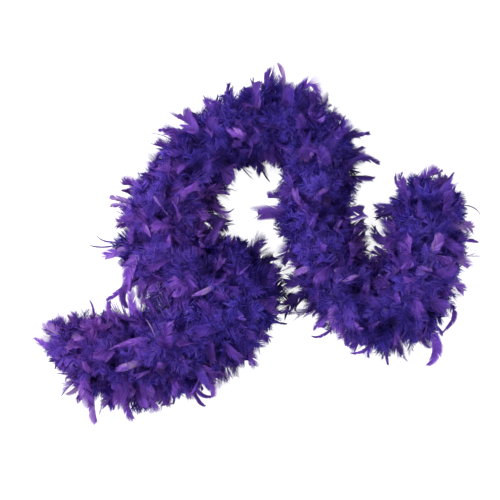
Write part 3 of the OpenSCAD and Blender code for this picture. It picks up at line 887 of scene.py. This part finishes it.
def long_feathers(parts, rng, start, end_splay, count):
    """Feathers with a broad vane."""
    s = start + rng.uniform(0, PITCH, count)
    angle = rng.uniform(-0.3, np.pi + 0.3, count)
    top = np.maximum(np.sin(angle), 0)
    lean = rng.normal(0, 0.45, count) + end_splay
    length = rng.uniform(0.086, 0.116, count) * (1 - 0.08 * top) * reach(s, angle)
    bend = np.clip(rng.normal(0.85, 0.40, count) + 0.9 * top, -0.3, 2.5)
    quill = quills(rng, s, angle, length, lean, bend, 0.25, 0.5)
    tone = np.clip(rng.normal(0.38, 0.14, count) + dye(s), -0.2, 1.3)
    shade = 0.85 * np.exp(rng.normal(0, 0.12, count)) * np.where(rng.random(count) < 0.10, 1.35, 1.0)
    grow_quill(parts, quill, tone, shade, 0.00065)
    grow_vane(parts, rng, quill, length, tone, shade, rng.uniform(0.0105, 0.0190, count), 0.38, 30,
              rng.normal(-0.3, 0.3, count))
    grow_down(parts, rng, quill, tone - 0.15, shade, 22, 0.12, 0.46, 0.030, rng.uniform(0.5, 1.1, count))


def edge_feathers(parts, rng, start, end_splay, count):
    """Narrower feathers whose tips make the ragged edge."""
    s = start + rng.uniform(0, PITCH, count)
    angle = np.where(rng.random(count) < 0.5, 0.0, np.pi) + rng.uniform(-0.45, 0.45, count)
    lean = rng.normal(0, 0.5, count) + end_splay
    length = rng.uniform(0.074, 0.100, count) * reach(s, angle)
    bend = np.clip(rng.normal(0.6, 0.4, count), -0.3, 1.6)
    quill = quills(rng, s, angle, length, lean, bend, 0.3, 0.7)
    tone = np.clip(rng.normal(0.32, 0.14, count) + dye(s), -0.2, 1.3)
    shade = 0.80 * np.exp(rng.normal(0, 0.15, count))
    grow_quill(parts, quill, tone, shade, 0.00055)
    grow_vane(parts, rng, quill, length, tone, shade, rng.uniform(0.007, 0.0135, count), 0.48, 20,
              rng.normal(-0.3, 0.3, count))
    grow_down(parts, rng, quill, tone - 0.1, shade, 18, 0.15, 0.56, 0.028, rng.uniform(0.4, 1.0, count))


def down_feathers(parts, rng, start, end_splay, count):
    """Short feathers that are all down. The low ones stand out sideways, and are flatter and coarser."""
    s = start + rng.uniform(0, PITCH, count)
    angle = rng.uniform(-0.7, np.pi + 0.7, count)
    low = rng.random(count) < 0.45
    sideways = np.where(rng.random(count) < 0.5, 0.0, np.pi) + rng.uniform(-0.5, 0.5, count)
    angle = np.where(low, sideways, angle)
    top = np.maximum(np.sin(angle), 0)
    lean = rng.normal(0, 0.5, count) + end_splay
    length = rng.uniform(0.062, 0.086, count) * (1 + 0.13 * lumps(s, angle)) * reach(s, angle)
    length *= np.where(low, 0.95, 1.0)
    bend = np.clip(rng.normal(0.5, 0.4, count) + 0.8 * top, -0.3, 2.0)
    quill = quills(rng, s, angle, length, lean, bend, 0.3, 0.6)
    tone = np.clip(rng.normal(0.38, 0.13, count) + dye(s), -0.3, 1.3)
    shade = np.exp(rng.normal(0, 0.08, count))
    grow_quill(parts, quill, tone, shade, 0.00035)
    mess = rng.uniform(0.6, 1.3, count) * np.where(low, 0.7, 1.0)
    grow_down(parts, rng, quill, tone, shade, 76, 0.12, 0.99, 0.031, mess, np.where(low, 1.4, 0.80),
              FINE_BARB_AT)


def under_feathers(parts, rng, start, count):
    """Short feathers underneath, coloured dark as painted shade."""
    s = start + rng.uniform(0, PITCH, count)
    angle = -np.pi / 2 + rng.uniform(-1.1, 1.1, count)
    length = rng.uniform(0.045, 0.060, count) * fullness(s)
    lean, bend = rng.normal(0, 0.5, count), rng.uniform(0, 1.0, count)
    quill = quills(rng, s, angle, length, lean, bend, 0.3, 0.6)
    # painted shade: these are dark because they lie underneath
    tone, shade = np.full(count, 0.1), np.full(count, 0.40)
    grow_down(parts, rng, quill, tone, shade, 24, 0.10, 0.98, 0.028, rng.uniform(0.3, 0.9, count), 2.2)


def standout_feathers(parts, rng, own):
    """The listed feathers that own picks out."""
    quill = [x[own] for x in drawn_quill]
    width, tone, shade = STANDOUTS[own, 6:9].T
    grow_quill(parts, quill, tone, shade, 0.00060)
    grow_vane(parts, rng, quill, drawn_length[own], tone, shade, width, 0.42, 32,
              rng.normal(-0.2, 0.25, own.sum()))
    grow_down(parts, rng, quill, tone - 0.2, 0.9 * shade, 26, 0.12, 0.50, 0.024, np.full(own.sum(), 0.4))


LONG, EDGE, DOWNY, UNDER = 9, 10, 64, 16    # feathers of each kind in one tuft
END_SPLAY = 0.5             # how far the feathers of the two end tufts lean off the end


def tuft(k):
    """The feathers bound in along one stretch of the cord."""
    rng = np.random.default_rng(1000 + k)
    parts = Parts()
    start = k * PITCH
    end_splay = -END_SPLAY if k == 0 else END_SPLAY if k == TUFTS - 1 else 0.0
    long_feathers(parts, rng, start, end_splay, LONG)
    edge_feathers(parts, rng, start, end_splay, EDGE)
    down_feathers(parts, rng, start, end_splay, DOWNY)
    under_feathers(parts, rng, start, UNDER)
    own = drawn_tuft == k
    if own.any():
        standout_feathers(parts, rng, own)
    core = place(start + PITCH * np.linspace(-1.0, 2.0, 13))
    return parts.build(f"tuft_{k + 1:02d}", [down_mat, vane_mat, quill_mat], core)


for k in range(TUFTS):
    piece = tuft(k)
    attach(piece, "root")
    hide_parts(f"feather_tuft_{k + 1:02d}")

# ---------------- floor

bpy.ops.mesh.primitive_plane_add(size=40, location=(0, 0, -0.0005))
floor = bpy.context.active_object
floor.name = "floor"
floor.data.materials.append(floor_mat)
